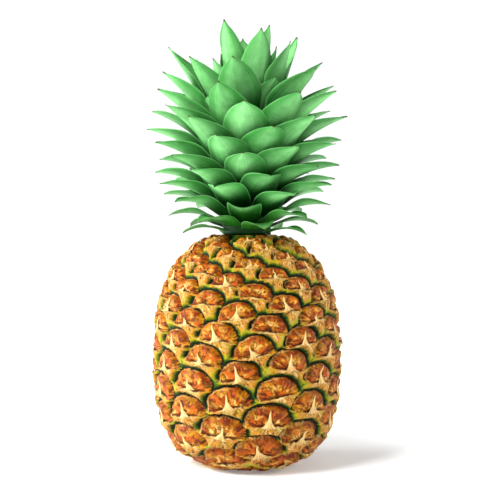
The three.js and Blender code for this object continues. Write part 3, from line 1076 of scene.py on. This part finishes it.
class PINEAPPLE_OT_crown_base(bpy.types.Operator):
    """Grow the stem of the crown with the short leaves round its foot"""

    bl_idname = "pineapple.crown_base"
    bl_label = "Crown base"

    def execute(self, context):
        crown = context.scene.pineapple_crown
        weave = Weave(JOINED_LEAVES + 1)
        angle = round_about(STEM_SIDES)
        shares = np.linspace(0, 0.95, 16)
        radius = stem_radius(shares) - STEM_CLEARANCE
        stem = polar(radius[:, None], angle[None, :], (STEM_FOOT_Z + STEM_RISE * shares)[:, None])
        foot = polar(STEM_RADIUS - STEM_CLEARANCE, angle, TOP_Z + BED_GAP)[None]
        stem = np.concatenate([foot, stem])
        top = (0, 0, stem[-1, 0, 2] + 0.001)
        values = np.zeros((*stem.shape[:2], 3))
        growth = np.full((*stem.shape[:2], 3), 0.2)
        paint = {
            "blade": ((0, 0, 0), values, (0, 0, 0)),
            "growth": ((0.2, 0.2, 0), growth, (0.2, 0.2, 0)),
        }
        weave.add(stem, (0, 0, TOP_Z + BED_GAP), top, paint)
        for number in range(JOINED_LEAVES):
            leaf = Leaf(number)
            leaf.take_root()
            weave.add(*leaf.blade(crown))
        show(weave.mesh("crown_base"), leaf_finish(crown), "crown_leaf", "crown_stem")
        return {"FINISHED"}


class PINEAPPLE_OT_crown_leaves(bpy.types.Operator):
    """Grow the long leaves of the crown, each a piece of its own"""

    bl_idname = "pineapple.crown_leaves"
    bl_label = "Crown leaves"

    def execute(self, context):
        crown = context.scene.pineapple_crown
        material = bpy.data.materials["pineapple_leaf"]
        for number in range(JOINED_LEAVES, LEAF_COUNT):
            name = f"leaf_{number - JOINED_LEAVES + 1:02d}"
            weave = Weave()
            weave.add(*Leaf(number).blade(crown))
            show(weave.mesh(f"crown_{name}"), material, "crown_leaf", name)
        return {"FINISHED"}


# ---------------------------------------------------------------- the stage

# The place of each softbox, the height it is aimed at, its size and its share of the power.
SOFTBOXES = {
    "key": ((-0.85, -0.9, 1.0), 0.14, 0.5, 1),
    "side": ((-1.3, 0.25, 0.35), 0.12, 0.6, 0.75),
    "fill": ((1.2, 0.2, 0.5), 0.12, 0.8, 0.3),
}
FLOOR_SIZE = 6  # from its middle to each side
FLOOR_Z = -0.0002  # just under the base
AIM_X = 0.0006  # how far beside the fruit's axis the camera looks
WHITE = 1.05  # strength of the world as the camera sees it


class PINEAPPLE_OT_stage(bpy.types.Operator):
    """Set the fruit on a pale floor, in soft light, before the camera"""

    bl_idname = "pineapple.stage"
    bl_label = "Stage"

    def execute(self, context):
        stage = context.scene.pineapple_stage
        context.scene.view_settings.view_transform = "Standard"
        self.floor()
        self.sky(context.scene, stage.daylight)
        for name, (place, aim_height, size, share) in SOFTBOXES.items():
            self.softbox(name, place, (0, 0, aim_height), size, stage.key * share)
        camera = bpy.data.objects.new("camera", bpy.data.cameras.new("camera"))
        camera.data.lens = stage.lens
        camera.data.sensor_width = 36
        camera.data.clip_start = 0.01
        camera.location = (0, -stage.distance, stage.camera_height)
        aim = Vector((AIM_X, 0, stage.aim_height)) - camera.location
        camera.rotation_euler = aim.to_track_quat("-Z", "Y").to_euler()
        context.scene.collection.objects.link(camera)
        context.scene.camera = camera
        return {"FINISHED"}

    @staticmethod
    def floor():
        mesh = bpy.data.meshes.new("floor")
        ways = ((-1, -1), (1, -1), (1, 1), (-1, 1))
        corners = [(x * FLOOR_SIZE, y * FLOOR_SIZE, FLOOR_Z) for x, y in ways]
        mesh.from_pydata(corners, [], [(0, 1, 2, 3)])
        finish = Finish("pale_floor")
        x, y, _ = finish.parts(finish.place())
        far = ((x * x + y * y) ** 0.5).rise(0.08, 0.22)
        inputs = {"Base Color": (0.9, 0.905, 0.915, 1), "Roughness": 0.7}
        inputs["Emission Color"] = finish.blend(far, (0.2, 0.2, 0.2), (1, 1, 1))
        inputs["Emission Strength"] = 1.0
        mesh.materials.append(finish.surface(inputs))
        floor = bpy.data.objects.new("floor", mesh)
        bpy.context.scene.collection.objects.link(floor)

    @staticmethod
    def sky(scene, daylight):
        """White to look at, and softer as a light."""
        scene.world = bpy.data.worlds.new("studio")
        scene.world.use_nodes = True
        tree = scene.world.node_tree
        background = tree.nodes["Background"]
        background.inputs["Color"].default_value = (1, 1, 1, 1)
        seen = tree.nodes.new("ShaderNodeLightPath").outputs["Is Camera Ray"]
        mix = tree.nodes.new("ShaderNodeMix")
        mix.inputs[2].default_value = daylight
        mix.inputs[3].default_value = WHITE
        tree.links.new(seen, mix.inputs[0])
        tree.links.new(mix.outputs[0], background.inputs["Strength"])

    @staticmethod
    def softbox(name, place, aim, size, power):
        light = bpy.data.lights.new(name, "AREA")
        light.size = size
        light.energy = power
        box = bpy.data.objects.new(name, light)
        box.location = place
        direction = Vector(aim) - box.location
        box.rotation_euler = direction.to_track_quat("-Z", "Y").to_euler()
        bpy.context.scene.collection.objects.link(box)


class PINEAPPLE_PT_panel(bpy.types.Panel):
    """Every piece of the pineapple, with its settings"""

    bl_label = "Pineapple"
    bl_space_type = "VIEW_3D"
    bl_region_type = "UI"
    bl_category = "Pineapple"

    def draw(self, context):
        for settings, kind in SETTINGS.items():
            box = self.layout.box()
            for name in kind.__annotations__:
                box.prop(getattr(context.scene, settings), name)
        for operator in OPERATORS:
            self.layout.operator(operator.bl_idname)


OPERATORS = [
    PINEAPPLE_OT_rind,
    PINEAPPLE_OT_bracts,
    PINEAPPLE_OT_stalk,
    PINEAPPLE_OT_crown_base,
    PINEAPPLE_OT_crown_leaves,
    PINEAPPLE_OT_stage,
]
CLASSES = [*SETTINGS.values(), *OPERATORS, PINEAPPLE_PT_panel]


def register():
    for kind in CLASSES:
        bpy.utils.register_class(kind)
    for name, kind in SETTINGS.items():
        setattr(bpy.types.Scene, name, PointerProperty(type=kind))


def unregister():
    for name in SETTINGS:
        delattr(bpy.types.Scene, name)
    for kind in reversed(CLASSES):
        bpy.utils.unregister_class(kind)


def main():
    register()
    bpy.ops.pineapple.rind()
    bpy.ops.pineapple.bracts()
    bpy.ops.pineapple.stalk()
    bpy.ops.pineapple.crown_base()
    bpy.ops.pineapple.crown_leaves()
    bpy.ops.pineapple.stage()


if __name__ == "__main__":
    main()
